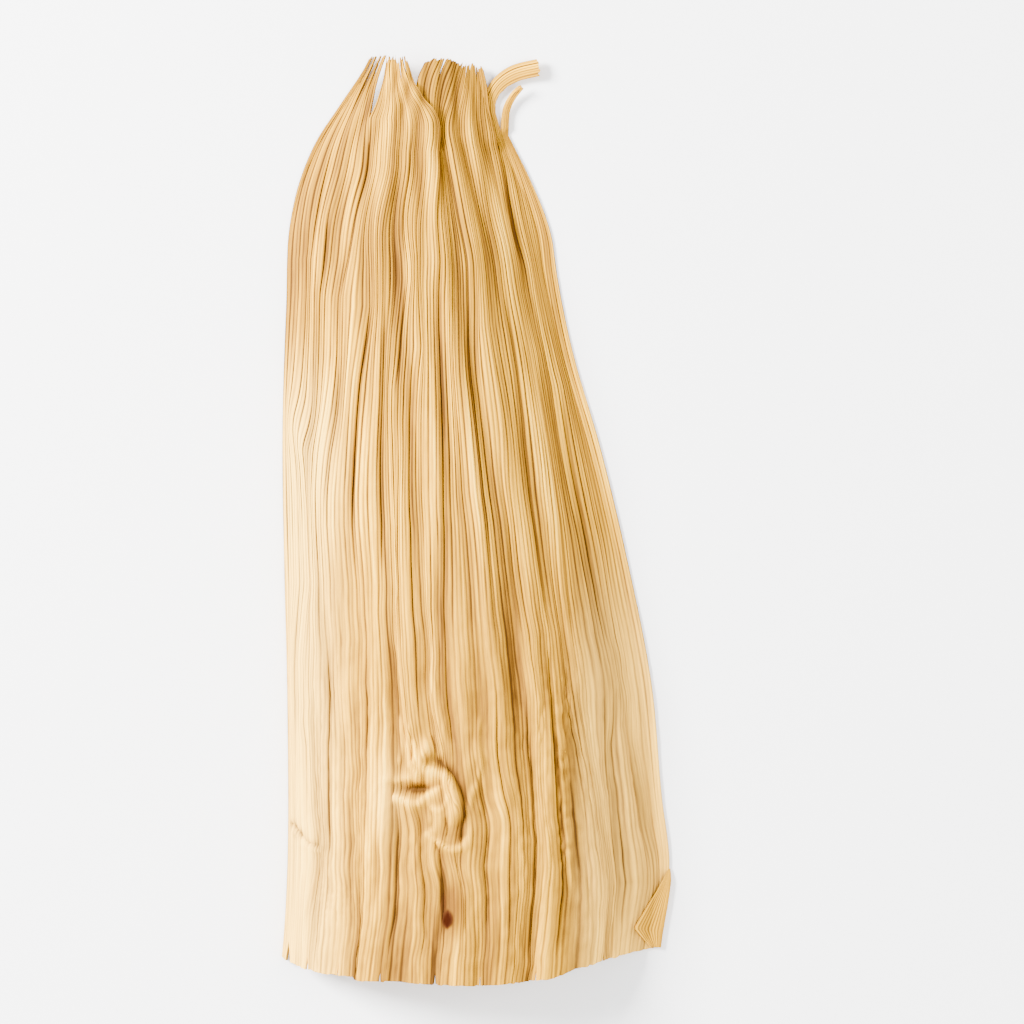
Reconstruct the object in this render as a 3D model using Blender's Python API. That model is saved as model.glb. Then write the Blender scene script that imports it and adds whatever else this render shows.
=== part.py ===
# One dried corn husk, lying on its two side margins with the ribbed outer side up.
# X is across the leaf, Y runs from the cut base to the torn tip, Z is up from the table.
# The leaf is a thin sheet: its underside is worked out first and then thickened outwards.

import bmesh
import bpy
import numpy as np
from mathutils import Matrix

LEAF_LENGTH = 0.262
LEAF_THICKNESS = 0.0006
ARCH_HEIGHT = 0.025  # the crest over the table, in the lower half
FOOT_DROP = 0.002  # how far the arch is sunk, so that the margins lie flat on the table
CREST_X = 0.002
LEFT_FALL = (2.6, 0.72)  # powers of the left flank, which turns down steeply
LEFT_FALL_TIP = 1.0  # the second power at the tip, where the flank is gentler
RIGHT_FALL = (2.0, 1.25)  # powers of the right flank, which runs out gently
LEFT_FALL_CHANGE = (0.205, 0.250)  # heights between which the left flank turns gentler

# Side margins as (height along the leaf, place across it).
LEFT_MARGIN = [
    (0.000, -0.0546), (0.018, -0.0532), (0.079, -0.0526), (0.118, -0.0535),
    (0.152, -0.0540), (0.191, -0.0529), (0.2136, -0.0518), (0.2248, -0.0493),
    (0.2374, -0.0440), (0.2472, -0.0375), (0.2584, -0.0302), (0.262, -0.0285),
]
RIGHT_MARGIN = [
    (0.000, 0.0512), (0.0095, 0.0524), (0.0319, 0.0554), (0.0518, 0.0532),
    (0.0829, 0.0504), (0.1180, 0.0436), (0.1512, 0.0356), (0.1775, 0.0280),
    (0.1999, 0.0235), (0.2097, 0.0221), (0.2279, 0.0151), (0.2383, 0.0098),
    (0.262, 0.0020),
]
BASE_EDGE = [  # place across, height of the cut edge
    (-0.0560, 0.0068), (-0.0470, 0.0036), (-0.0328, 0.0020), (-0.0118, 0.0003),
    (0.0020, 0.0000), (0.0244, 0.0022), (0.0412, 0.0070), (0.0560, 0.0097),
]
BASE_EDGE_AT = 0.005  # the height at which a vein's place picks its height on the cut edge
BASE_EDGE_RUN = 0.060  # above this the rows are level again
ARCH_ALONG = [  # height along the leaf, share of ARCH_HEIGHT
    (0.000, 1.00), (0.060, 1.00), (0.130, 0.94), (0.180, 0.82), (0.215, 0.62),
    (0.240, 0.44), (0.262, 0.34),
]

# The tip is torn along the veins into fingers. Each vein is (share of the width, height
# where the tear starts), with its places above the shoulder and those of its two sides.
SHOULDER = (0.192, 0.230)  # the leaf passes from even veins to the fingers' own lines
TEAR_LEFT = dict(
    share=0.25, root=0.2425,
    vein=[(0.192, -0.0352), (0.211, -0.0316), (0.2248, -0.0305), (0.2425, -0.0291)],
    left_side=[(0.2425, -0.0291), (0.2472, -0.0280), (0.2568, -0.0258), (0.262, -0.0240)],
    right_side=[(0.2425, -0.0291), (0.2472, -0.0272), (0.2568, -0.0248), (0.262, -0.0232)],
)
TEAR_MIDDLE = dict(
    share=0.56, root=0.2330,
    vein=[(0.192, -0.0100), (0.215, -0.0114), (0.2330, -0.0120)],
    left_side=[(0.2330, -0.0120), (0.2365, -0.0121), (0.2420, -0.0104),
               (0.2482, -0.0138), (0.2530, -0.0166), (0.262, -0.0193)],
    right_side=[(0.2330, -0.0120), (0.2365, -0.0115), (0.2420, -0.0142),
                (0.2482, -0.0160), (0.2530, -0.0156), (0.262, -0.0120)],
)
CREASE_RIGHT = dict(
    share=0.66, root=1.0,
    vein=[(0.192, -0.0020), (0.215, -0.0060), (0.2330, -0.0078), (0.2397, -0.0086),
          (0.2486, -0.0064), (0.262, -0.0026)],
)
NOTCH_LEFT = dict(
    share=0.905, root=0.2383,
    vein=[(0.192, 0.0176), (0.2150, 0.0130), (0.2383, 0.0062)],
    left_side=[(0.2383, 0.0062), (0.2405, 0.0055), (0.2454, 0.0047), (0.2537, 0.0036),
               (0.262, 0.0010)],
    right_side=[(0.2383, 0.0062), (0.262, 0.0062)],
)
NOTCH_RIGHT = dict(
    share=0.935, root=0.2383,
    vein=[(0.192, 0.0196), (0.2150, 0.0150), (0.2383, 0.0075)],
    left_side=[(0.2383, 0.0075), (0.262, 0.0075)],
    right_side=[(0.2383, 0.0075), (0.262, 0.0075)],
)
TEARS = [TEAR_LEFT, TEAR_MIDDLE, CREASE_RIGHT, NOTCH_LEFT, NOTCH_RIGHT]
COLUMNS = [8, 11, 4, 8, 2, 2]  # steps across each finger, from the left margin
FINGER_LIFT = [(0.0, 0.0), (0.0, 0.0022), (-0.0012, 0.0), (0.0, 0.0030), None, None]
FINGER_END = [0.2612, 0.2603, 0.2598, 0.2590]
FINGER_END_FROM = 0.235  # the fingers are shortened above this height
ROWS = [(0.200, 25), (0.233, 7), (0.2383, 2), (0.2425, 2), (LEAF_LENGTH, 6)]
LIFT_RUN = 0.005  # a torn side has risen by its full lift this far above the tear
SAME_HEIGHT = 1e-6
VEIN_SAMPLES = 160  # places across at which the width of the arch is measured

# Two narrow strips leave the notch: one passes behind the last finger and curls over to
# the right, the other bends right beside it. Each is (across, along, width, height).
CURLED_STRIP = [
    (0.0068, 0.2383, 0.0013, 0.0000), (0.0071, 0.2418, 0.0011, -0.0004),
    (0.0055, 0.2452, 0.0024, -0.0004), (0.0048, 0.2490, 0.0032, -0.0002),
    (0.0072, 0.2530, 0.0040, 0.0002), (0.0118, 0.2560, 0.0046, 0.0004),
    (0.0190, 0.2576, 0.0047, 0.0018),
]
BENT_STRIP = [
    (0.0087, 0.2383, 0.0023, 0.0000), (0.0093, 0.2430, 0.0018, 0.0002),
    (0.0098, 0.2462, 0.0018, 0.0006), (0.0112, 0.2492, 0.0016, 0.0012),
    (0.0138, 0.2522, 0.0010, 0.0022),
]
STRIP_TURN = 0.15  # share of a strip over which it turns square to its own line
STRIP_AHEAD = 0.02  # share of a strip over which its direction is measured

# The lower right corner is folded over onto the outer side.
CORNER_TOP = 0.0319
CORNER_POINT = 0.0146  # height of the folded corner's point
CORNER_REACH = 0.0088  # how far the point lies in from the fold
CORNER_LOW_REACH = 0.0034
CORNER_GAP = 0.0022  # between the underside of the leaf and that of the folded corner
CORNER_STEPS = 3

# Long pleats as (depth, half width, [(height along, place across), ...]).
PLEATS = [
    (0.0014, 0.0030, [(0.160, -0.0410), (0.190, -0.0370), (0.225, -0.0310)]),
    (0.0016, 0.0034, [(0.060, -0.0200), (0.150, -0.0105), (0.200, -0.0100), (0.230, -0.0118)]),
    (0.0012, 0.0034, [(0.140, -0.0258), (0.200, -0.0220)]),
    (0.0012, 0.0030, [(0.160, 0.0175), (0.195, 0.0146), (0.228, 0.0098)]),
    (0.0014, 0.0034, [(0.010, -0.0230), (0.050, -0.0206), (0.090, -0.0262)]),
    (0.0014, 0.0034, [(0.010, 0.0046), (0.050, 0.0026), (0.090, 0.0020)]),
    (0.0012, 0.0034, [(0.014, 0.0330), (0.060, 0.0300), (0.110, 0.0250)]),
]
CRUMPLES = [  # rise, place across, height along, half width, half length
    (-0.0022, -0.0165, 0.0546, 0.0050, 0.0050),
    (0.0018, -0.0084, 0.0450, 0.0050, 0.0060),
]
SWELL_HEIGHT = 0.0006  # broad waves across the leaf
SWELLS = 9.0
SWELL_TURN = 9.0  # how fast the waves slant, in radians for each metre up the leaf
PLEAT_FADE = 0.020  # length over which a pleat fades in and out
MARGIN_FADE = (0.012, 0.014)  # width of the smooth band along the left and right margin
TIP_FADE = (0.225, 0.255)  # heights between which the relief loses most of its depth
TIP_FADE_SHARE = 0.7

STRAW = (0.72, 0.50, 0.23, 1.0)
STRAW_ROUGHNESS = 0.62


def clear_scene():
    for item in list(bpy.data.objects):
        bpy.data.objects.remove(item, do_unlink=True)


def through(points):
    """A smooth curve through (place, value) points, level beyond its ends."""
    place, value = np.array(points, float).T
    slope = np.gradient(value, place)

    def read(s):
        s = np.clip(s, place[0], place[-1])
        i = np.clip(np.searchsorted(place, s) - 1, 0, len(place) - 2)
        run = place[i + 1] - place[i]
        t = (s - place[i]) / run
        start = (2 * t**3 - 3 * t**2 + 1) * value[i] + (t**3 - 2 * t**2 + t) * run * slope[i]
        end = (3 * t**2 - 2 * t**3) * value[i + 1] + (t**3 - t**2) * run * slope[i + 1]
        return start + end

    return read


def ease(low, high, s):
    t = np.clip((s - low) / (high - low), 0.0, 1.0)
    return t * t * (3 - 2 * t)


left_margin = through(LEFT_MARGIN)
right_margin = through(RIGHT_MARGIN)
base_edge = through(BASE_EDGE)
arch_share = through(ARCH_ALONG)


def arch(x, y):
    """Height of the smooth arch over the table at a place in plan."""
    left, right = left_margin(y), right_margin(y)
    crest = np.minimum(CREST_X, 0.5 * (left + right))
    off = np.where(x < crest, (crest - x) / (crest - left), (x - crest) / (right - crest))
    off = np.clip(off, 0.0, 1.0)
    steepness = LEFT_FALL[1] + (LEFT_FALL_TIP - LEFT_FALL[1]) * ease(*LEFT_FALL_CHANGE, y)
    left_side = (1 - off ** LEFT_FALL[0]) ** steepness
    right_side = (1 - off ** RIGHT_FALL[0]) ** RIGHT_FALL[1]
    rise = np.where(x < crest, left_side, right_side)
    return np.maximum(0.0, ARCH_HEIGHT * arch_share(y) * rise - FOOT_DROP)


def relief(x, y):
    """Pleats, crumples and broad waves, which fade out at the side margins."""
    from_left, from_right = x - left_margin(y), right_margin(y) - x
    inside = ease(0.0, MARGIN_FADE[0], from_left) * ease(0.0, MARGIN_FADE[1], from_right)
    across = (x - left_margin(y)) / (right_margin(y) - left_margin(y))
    height = SWELL_HEIGHT * np.sin(2 * np.pi * SWELLS * across + SWELL_TURN * y)
    for depth, half, line in PLEATS:
        place = through(line)
        fade = ease(0.0, PLEAT_FADE, y - line[0][0]) * ease(0.0, PLEAT_FADE, line[-1][0] - y)
        height = height - depth * fade * np.exp(-(((x - place(y)) / half) ** 2))
    for rise, mid_x, mid_y, half, long in CRUMPLES:
        off = ((x - mid_x) / half) ** 2 + ((y - mid_y) / long) ** 2
        height = height + rise * np.exp(-off)
    return height * inside * (1 - TIP_FADE_SHARE * ease(*TIP_FADE, y))


def underside(x, y):
    return np.maximum(0.0, arch(x, y) + relief(x, y))


def even_vein(share, y):
    """Place across of a vein, where the veins are evenly spaced along the arch."""
    x = np.linspace(left_margin(y), right_margin(y), VEIN_SAMPLES)
    steps = np.hypot(np.diff(x), np.diff(arch(x, np.full_like(x, y))))
    walked = np.concatenate([[0.0], np.cumsum(steps)])
    return np.interp(share * walked[-1], walked, x)


def side_place(index, y, side):
    """Place across of finger boundary number index, on its left or right side."""
    if index < 0:
        return float(left_margin(y))
    if index == len(TEARS):
        return float(right_margin(y))
    tear = TEARS[index]
    if y <= tear["root"]:
        return float(through(tear["vein"])(y))
    return float(through(tear[side])(y))


def finger_point(finger, across, row):
    """A point of the underside: across runs 0 to 1 over the finger."""
    shares = [0.0] + [tear["share"] for tear in TEARS] + [1.0]
    share = shares[finger] + across * (shares[finger + 1] - shares[finger])
    edge = base_edge(even_vein(share, BASE_EDGE_AT))
    y = row + edge * max(0.0, 1 - row / BASE_EDGE_RUN) ** 2
    if finger < len(FINGER_END):
        y -= (LEAF_LENGTH - FINGER_END[finger]) * ease(FINGER_END_FROM, LEAF_LENGTH, row)
    low = side_place(finger - 1, y, "right_side")
    high = side_place(finger, y, "left_side")
    own = low + across * (high - low)
    x = even_vein(share, y)
    x += (own - x) * ease(*SHOULDER, y)
    z = float(underside(x, y))
    roots = [tear["root"] for tear in TEARS]
    lift = FINGER_LIFT[finger]
    if lift is not None:
        if finger > 0:
            z += (1 - across) * lift[0] * ease(0, LIFT_RUN, y - roots[finger - 1])
        z += across * lift[1] * ease(0, LIFT_RUN, y - roots[finger])
    return x, y, max(z, 0.0)


def strip_point(strip, across, row, root):
    """A point of a narrow strip that follows its own line above the notch."""
    along = np.linspace(0.0, 1.0, len(strip))
    line = [through(list(zip(along, column))) for column in zip(*strip)]
    t = (row - root) / (LEAF_LENGTH - root)
    x, y, width, height = [float(part(t)) for part in line]
    before, after = t - STRIP_AHEAD, min(t + STRIP_AHEAD, 1)
    ahead = np.array([float(part(after)) - float(part(before)) for part in line])
    side = np.array([ahead[1], -ahead[0]]) / np.hypot(ahead[0], ahead[1])
    if t < STRIP_TURN:
        side = side * t / STRIP_TURN + np.array([1.0, 0.0]) * (1 - t / STRIP_TURN)
    shift = (across - 0.5) * width
    at_root = float(underside(strip[0][0], strip[0][1]))
    return x + shift * side[0], y + shift * side[1], max(0.0, at_root * (1 - t) + height)


def row_heights():
    rows = [0.0]
    for stop, steps in ROWS:
        rows += list(np.linspace(rows[-1], stop, steps + 1)[1:])
    return rows


def add_sheet(mesh):
    """Makes the underside as one sheet of quads, split where the tip is torn."""
    rows = row_heights()
    strips = {4: CURLED_STRIP, 5: BENT_STRIP}
    last_column = None
    for finger, steps in enumerate(COLUMNS):
        columns = []
        for step in range(steps + 1):
            across = step / steps
            column = []
            for i, row in enumerate(rows):
                joined = finger > 0 and row <= TEARS[finger - 1]["root"] + SAME_HEIGHT
                if step == 0 and joined:
                    column.append(last_column[i])
                    continue
                if finger in strips and row > TEARS[finger - 1]["root"] + SAME_HEIGHT:
                    point = strip_point(strips[finger], across, row, TEARS[3]["root"])
                else:
                    point = finger_point(finger, across, row)
                column.append(mesh.verts.new(point))
            columns.append(column)
        for left, right in zip(columns, columns[1:]):
            for i in range(len(rows) - 1):
                mesh.faces.new((left[i], right[i], right[i + 1], left[i + 1]))
        last_column = columns[-1]
    return last_column


def add_corner(mesh, margin):
    """Turns the lower right corner over the fold and lays it back on the leaf."""
    fold = [vert for vert in margin if vert.co.y < CORNER_TOP]
    end = margin[len(fold)]
    run = np.array([end.co.x - fold[0].co.x, end.co.y - fold[0].co.y])
    inward = np.array([-run[1], run[0]]) / np.hypot(*run)
    rings = [fold]
    for step in range(CORNER_STEPS + 2):
        ring = []
        for vert in fold:
            reach = CORNER_REACH * (CORNER_TOP - vert.co.y) / (CORNER_TOP - CORNER_POINT)
            if vert.co.y < CORNER_POINT:
                reach = CORNER_LOW_REACH
            if step == 0:
                move, height = -0.5 * CORNER_GAP, 0.5 * CORNER_GAP
            else:
                move, height = reach * (step - 1) / CORNER_STEPS, CORNER_GAP
            x, y = vert.co.x + inward[0] * move, vert.co.y + inward[1] * move
            bed = float(underside(min(x, vert.co.x), y)) if step else 0.0
            ring.append(mesh.verts.new((x, y, bed + height)))
        rings.append(ring)
    for near, far in zip(rings, rings[1:]):
        for i in range(len(fold) - 1):
            mesh.faces.new((near[i], far[i], far[i + 1], near[i + 1]))


def straw_material():
    material = bpy.data.materials.new("straw")
    material.use_nodes = True
    shader = material.node_tree.nodes["Principled BSDF"]
    shader.inputs["Base Color"].default_value = STRAW
    shader.inputs["Roughness"].default_value = STRAW_ROUGHNESS
    shader.inputs["Metallic"].default_value = 0.0
    return material


def make_husk():
    mesh = bmesh.new()
    add_corner(mesh, add_sheet(mesh))
    bmesh.ops.triangulate(mesh, faces=mesh.faces[:])
    data = bpy.data.meshes.new("husk")
    mesh.to_mesh(data)
    mesh.free()
    data.materials.append(straw_material())
    data.shade_smooth()
    husk = bpy.data.objects.new("husk", data)
    bpy.context.collection.objects.link(husk)
    solid = husk.modifiers.new("thickness", "SOLIDIFY")
    solid.thickness = LEAF_THICKNESS
    solid.offset = 1.0
    return husk


def centre_on_table(husk):
    """Moves the mesh so that the origin is under the middle of the leaf, on the table."""
    seen = husk.evaluated_get(bpy.context.evaluated_depsgraph_get())
    points = np.array([vert.co for vert in seen.data.vertices])
    middle = 0.5 * (points.min(axis=0) + points.max(axis=0))
    husk.data.transform(Matrix.Translation((-middle[0], -middle[1], -points[:, 2].min())))


clear_scene()
centre_on_table(make_husk())
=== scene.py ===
import math

import bpy
import numpy as np
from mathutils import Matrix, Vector


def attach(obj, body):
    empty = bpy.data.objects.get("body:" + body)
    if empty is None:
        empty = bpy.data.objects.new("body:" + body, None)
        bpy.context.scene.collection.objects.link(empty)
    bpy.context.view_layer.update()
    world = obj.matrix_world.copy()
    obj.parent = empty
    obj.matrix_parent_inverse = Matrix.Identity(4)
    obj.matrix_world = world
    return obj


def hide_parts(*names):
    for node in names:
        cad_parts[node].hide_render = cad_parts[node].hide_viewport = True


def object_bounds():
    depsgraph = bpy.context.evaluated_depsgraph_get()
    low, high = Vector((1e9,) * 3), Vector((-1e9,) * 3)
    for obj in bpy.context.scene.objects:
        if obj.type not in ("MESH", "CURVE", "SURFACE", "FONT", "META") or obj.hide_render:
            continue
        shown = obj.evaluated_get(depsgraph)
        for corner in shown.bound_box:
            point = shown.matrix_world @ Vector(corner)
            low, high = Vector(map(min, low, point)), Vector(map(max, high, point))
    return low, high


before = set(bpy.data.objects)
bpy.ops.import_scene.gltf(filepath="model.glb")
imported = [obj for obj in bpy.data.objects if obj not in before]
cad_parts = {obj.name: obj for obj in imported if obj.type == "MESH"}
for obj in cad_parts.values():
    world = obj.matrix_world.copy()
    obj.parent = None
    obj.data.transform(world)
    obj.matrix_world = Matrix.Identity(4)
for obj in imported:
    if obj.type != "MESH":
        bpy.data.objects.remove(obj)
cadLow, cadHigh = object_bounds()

# The leaf is worked out flat on its own ruler, in millimetres: x across, y up from the
# cut base, z up from the table. It is set into the frame's box at the very end.
mm = 0.001

leaf = {
    "length": 262.0,
    "thickness": 0.34,
    "archHeight": 25.0,
    "footDrop": 2.0,
    "crestX": 2.0,
    "leftFall": (2.6, 0.72),
    "leftFallTip": 1.0,
    "rightFall": (2.0, 1.25),
    "veins": 108,
    "veinSteps": (0.0, 0.36, 0.68),
    "veinHeight": (0.30, 0.13),  # the main grooves, and the fainter ones between them
    "widthSpread": 0.3,  # how much the veins differ in width
    "leadReach": 0.036,  # share of the width that a fold takes along with its own vein
    "leadFade": 45.0,  # how far past its ends a fold still leads the veins
    "leastGap": 0.35,  # least room for a column, against the mean of its row
    "slowSway": 0.55,
    "quickSway": 0.28,
    "swayEnds": (225.0, 240.0),  # heights between which the sway dies away
    "splitReach": 5.0,  # columns that part together at a small split
    "innerTone": 0.42,
    "innerClear": 0.35,
    "baseFade": 60.0,  # the height over which the line of the cut edge dies away
    "tipFade": (236, 262),
    "seed": 11,
}

leftMarginPoints = [
    (0.0, -54.6), (18.0, -53.2), (79.0, -52.6), (118.0, -53.5), (152.0, -54.0),
    (191.0, -52.9), (213.6, -51.8), (224.8, -49.3), (237.4, -44.0), (247.2, -37.5),
    (258.4, -30.2), (262.0, -28.5),
]
rightMarginPoints = [
    (0.0, 51.2), (9.5, 52.4), (31.9, 55.4), (51.8, 53.2), (82.9, 50.4), (118.0, 43.6),
    (151.2, 35.6), (177.5, 28.0), (199.9, 23.5), (209.7, 22.1), (227.9, 15.1),
    (238.3, 9.9), (262.0, 2.0),
]
baseEdgePoints = [
    (-56.0, 6.8), (-47.0, 3.6), (-32.8, 2.0), (-11.8, 0.3), (2.0, 0.0), (24.4, 2.2),
    (41.2, 7.0), (56.0, 9.7),
]
archPoints = [
    (0.0, 1.0), (60.0, 1.0), (130.0, 0.94), (180.0, 0.82), (215.0, 0.62), (240.0, 0.44),
    (262.0, 0.34),
]

# The tip is torn between veins. Each tear has the vein it follows, the height it starts
# at, and where its two sides run. One of them is only a crease, and starts past the tip.
tears = [
    {"vein": 19, "root": 242.5,
     "line": [(192, -36.2), (202.8, -34.2), (214.9, -31.8), (224.8, -30.5), (242.5, -29.1)],
     "left": [(242.5, -29.1), (247.2, -28.4), (252.0, -27.4), (256.8, -25.9), (262, -24.0)],
     "right": [(242.5, -29.1), (247.2, -27.0), (252.0, -25.7), (256.8, -24.9), (262, -24.0)]},
    {"vein": 54, "root": 233.0,
     "line": [(192, -9.3), (215, -9.2), (233.0, -9.8)],
     "left": [(233, -9.8), (238, -9.3), (242, -9.6), (245, -11.2), (248.4, -14.0),
              (253, -16.6), (262, -19.3)],
     "right": [(233, -9.8), (238, -11.8), (242, -14.0), (248.2, -16.0), (253, -15.8),
               (262, -12.0)]},
    {"vein": 65, "root": 999.0,
     "line": [(192, -1.5), (203, -2.2), (216, -4.0), (233, -7.4), (239.7, -8.4),
              (248.6, -6.4), (262, -2.6)],
     "left": [], "right": []},
    {"vein": 90, "root": 233.0,
     "line": [(192, 14.7), (200.4, 13.8), (212.5, 11.4), (226.5, 8.7), (233, 7.2)],
     "left": [(233, 7.2), (235.5, 6.6), (238.3, 6.2), (245.4, 4.7), (253.7, 3.6),
              (262, 1.2)],
     "right": [(233, 7.2), (235.5, 6.9), (238.3, 5.0), (262, 5.0)]},
    {"vein": 97, "root": 238.3,
     "line": [(192, 18.6), (215, 14.6), (233, 9.7), (238.3, 7.9)],
     "left": [(238.3, 7.9), (262, 7.9)],
     "right": [(238.3, 7.9), (262, 7.9)]},
]
shoulder = (192.0, 230.0)
# The parts between the tears: how far the two sides of each lift, and where it ends.
fingerLift = [(0.0, 0.3), (0.6, 0.9), (-0.3, 0.0), (0.0, 2.0), (-0.5, 0.0), (0.0, 0.0)]
fingerEnd = [261.2, 260.6, 260.2, 259.0]
# Rows up the leaf: the height each stretch ends at, and how many rows it has.
rowStops = [(36.0, 30), (76.0, 60), (233.0, 115), (238.3, 5), (242.5, 5), (262.0, 30)]

# The two narrow strips beside the notch: across, up, width, height over the table.
stripRoot = 238.3
curledStrip = [
    (6.45, stripRoot, 2.9, 0.5), (5.6, 241.8, 2.6, 0.4), (4.7, 245.2, 2.9, 0.4),
    (4.9, 249.0, 3.4, 0.5), (7.4, 253.0, 4.1, 0.8), (12.0, 255.9, 4.7, 1.0),
    (19.2, 257.6, 4.8, 2.0),
]
bentStrip = [
    (8.9, stripRoot, 2.0, 0.7), (9.0, 243.0, 1.9, 0.6), (9.6, 246.2, 1.8, 0.9),
    (11.2, 249.2, 1.6, 1.4), (13.8, 252.2, 0.9, 2.4),
]

# The folded corner: height of its top, of its point, and how far it reaches in.
corner = {"top": 31.9, "point": 13.6, "reach": 7.6, "lowReach": 2.6, "gap": 1.3,
          "turnSteps": 4, "flapSteps": 24, "veins": 8, "veinRise": 0.14}

# Small splits at the tip and at the base: vein, how many rows long, how far the sides part.
tipSplits = [
    (5, 28, 0.5), (10, 30, 0.8), (15, 25, 0.5), (28, 10, 0.2), (40, 12, 0.3), (48, 10, 0.25),
    (60, 12, 0.35), (73, 15, 0.3), (82, 10, 0.3),
]
baseSplits = [
    (4, 6, 1.0), (13, 3, 0.5), (21, 4, 0.3), (34, 2, 0.4), (46, 3, 0.5), (58, 2, 0.3),
    (75, 4, 0.4), (89, 3, 0.5),
]
# Where the cut edge steps: how far, where it starts and is full, where it eases back.
baseEdgeSteps = [(-0.9, -33.4, -32.9, -33.4, -20.0), (0.7, 26.0, 26.4, 27.0, 36.0)]

# Folds run with the veins: the vein, depth, step down from left to right, left bank, right
# bank, points (x, y). The vein is led along the points.
folds = [
    # the upper half
    (8, 0.5, 0.5, 1.2, 1.4, [(-36.6, 235.6), (-38.4, 223.4), (-42.4, 214.9), (-45.7, 202.8)]),
    (19, 0.8, 0.9, 2.2, 1.2, [
        (-27.5, 240.4), (-28.7, 233.7), (-30.5, 221.6), (-31.5, 214.9), (-34.2, 202.8),
        (-36.6, 191.9)]),
    (12, 0.5, 0.5, 1.4, 1.2, [(-40.3, 217.4), (-40.9, 205.2), (-42.4, 193.1)]),
    (39, 0.5, 0.6, 1.6, 1.2, [(-17.8, 242.6), (-19, 223.4), (-19, 216), (-18.6, 200)]),
    (54, 0.7, 0.8, 1.8, 1.5, [
        (-8.6, 244), (-9.6, 236), (-9.3, 229.5), (-9.2, 216.1), (-9, 205.2),
        (-9.3, 191.9), (-9, 169.8), (-8.7, 152), (-8.6, 120), (-7.8, 85),
        (-6.2, 64)]),
    (65, 0.4, 0.4, 1.2, 1.1, [
        (-3.2, 236), (-2.6, 216.1), (-1.7, 202.8), (-1.4, 188), (-1.3, 175.8), (0.6, 152),
        (3.8, 118), (6.4, 90)]),
    (90, 0.6, 1.1, 3.0, 1.2, [
        (6.5, 235.6), (8.9, 226.5), (11.3, 212.5), (13.8, 200.4), (14.6, 194)]),
    (39, 0.6, 0.5, 1.2, 1.2, [(-17.8, 197), (-19.6, 190), (-21.4, 181.9), (-22.4, 167)]),
    (77, 0.3, 0.4, 1.0, 1.0, [(3.8, 217), (5.9, 200), (6.8, 184)]),
    (19, 0.5, 0.6, 1.6, 1.4, [(-37.2, 176), (-38.6, 162), (-41, 143), (-42.2, 128)]),
    (26, 0.6, 0.6, 1.6, 1.4, [(-28, 189), (-31.2, 169.8), (-33, 152), (-34.6, 127.6)]),
    (33, 0.7, 0.7, 1.6, 1.5, [
        (-24.2, 190), (-24.5, 181.9), (-24.8, 166.7), (-25.7, 152.1), (-26, 130),
        (-25.7, 112)]),
    (44, 0.6, 0.6, 1.5, 1.3, [
        (-16, 178), (-17.8, 157.6), (-18.2, 130), (-17.2, 105), (-16, 88),
        (-14.8, 72)]),
    (80, 0.6, 0.6, 1.6, 1.4, [
        (9, 192), (12, 174), (14.3, 152.1), (18.2, 115), (20.6, 96)]),
    (88, 0.5, 0.5, 1.3, 1.2, [(17.4, 176), (21, 152), (25, 115), (27.4, 92)]),
    (96, 0.5, 0.6, 1.8, 1.5, [(23.4, 168), (28, 140), (33, 115), (37, 92)]),
    (6, 0.3, 0.4, 1.4, 1.4, [(-48.4, 112), (-50, 90), (-49.6, 62)]),
    # the lower half
    (28, 0.4, 0.5, 1.5, 1.2, [(-29.4, 96), (-30, 83.3), (-30.3, 57)]),
    (31, 0.5, 0.5, 1.4, 1.3, [
        (-25.6, 92), (-25.7, 83.3), (-26.3, 65.6), (-27.4, 44), (-28, 20)]),
    (35, 0.9, 1.3, 3.2, 1.4, [
        (-20, 51.3), (-20, 43.7), (-20.3, 37.6), (-21, 27.3), (-22, 20.5),
        (-23.2, 6)]),
    (42, 0.4, 0.5, 1.2, 1.0, [(-14, 36), (-13.3, 24), (-13.1, 15.7), (-13.5, 0.5)]),
    (47, 0.6, 0.5, 1.2, 1.2, [(-9.6, 37.5), (-8.8, 31), (-8.3, 22.7), (-8, 10)]),
    (59, 0.7, 0.9, 1.6, 1.3, [(-0.4, 66), (1.4, 52), (3, 44.8), (2.6, 33), (4.6, 8.1)]),
    (64, 0.5, 0.9, 2.6, 1.0, [
        (6.6, 84), (7.3, 62), (10.1, 46.5), (10.7, 27), (11.5, 8)]),
    (71, 0.7, 0.9, 2.6, 1.0, [
        (14.6, 84), (15.7, 61.8), (16.9, 46.4), (16.5, 26), (17.4, 6)]),
    (79, 1.1, 0.6, 0.9, 1.0, [
        (20.8, 98), (21.5, 69.5), (22.2, 48), (23, 41.8), (23.8, 26.5), (23.4, 4)]),
    (87, 0.4, 0.7, 2.2, 1.2, [
        (28, 86), (28.9, 77), (32, 59), (35.6, 36.4), (38.4, 8)]),
    (83, 0.3, 0.5, 1.4, 1.0, [(30.6, 44), (32, 34.7), (33.8, 22), (35.4, 7)]),
    (96, 0.4, 0.5, 1.2, 1.0, [
        (38.4, 84), (39.1, 69.2), (40.3, 52), (41.4, 41.2), (42.4, 28)]),
    (100, 0.5, 1.5, 3.0, 1.2, [
        (41.8, 80), (42.8, 69.2), (44.6, 59.8), (46.1, 51.2), (46.7, 44.2), (48.7, 34.8),
        (49.4, 27)]),
    (18, 0.9, 0.8, 1.6, 1.4, [(-41, 96), (-41.1, 82.5), (-40.7, 54.1), (-40.2, 32)]),
    (23, 0.4, 0.5, 1.4, 1.2, [(-35, 60), (-34.2, 40), (-33.4, 18)]),
]
# The shape of every fold: the wall between its banks and the hollow beside it, each at the top and
# how much more low on the leaf, and the painted shade of its line, the painted shadow on its right
# side and the painted highlight on its left side.
foldShape = {"wall": (0.24, 0.16), "hollow": (0.5, 0.25), "longestFade": 16.0,
             "line": 0.45, "shadow": 0.26, "light": 0.16}
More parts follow.
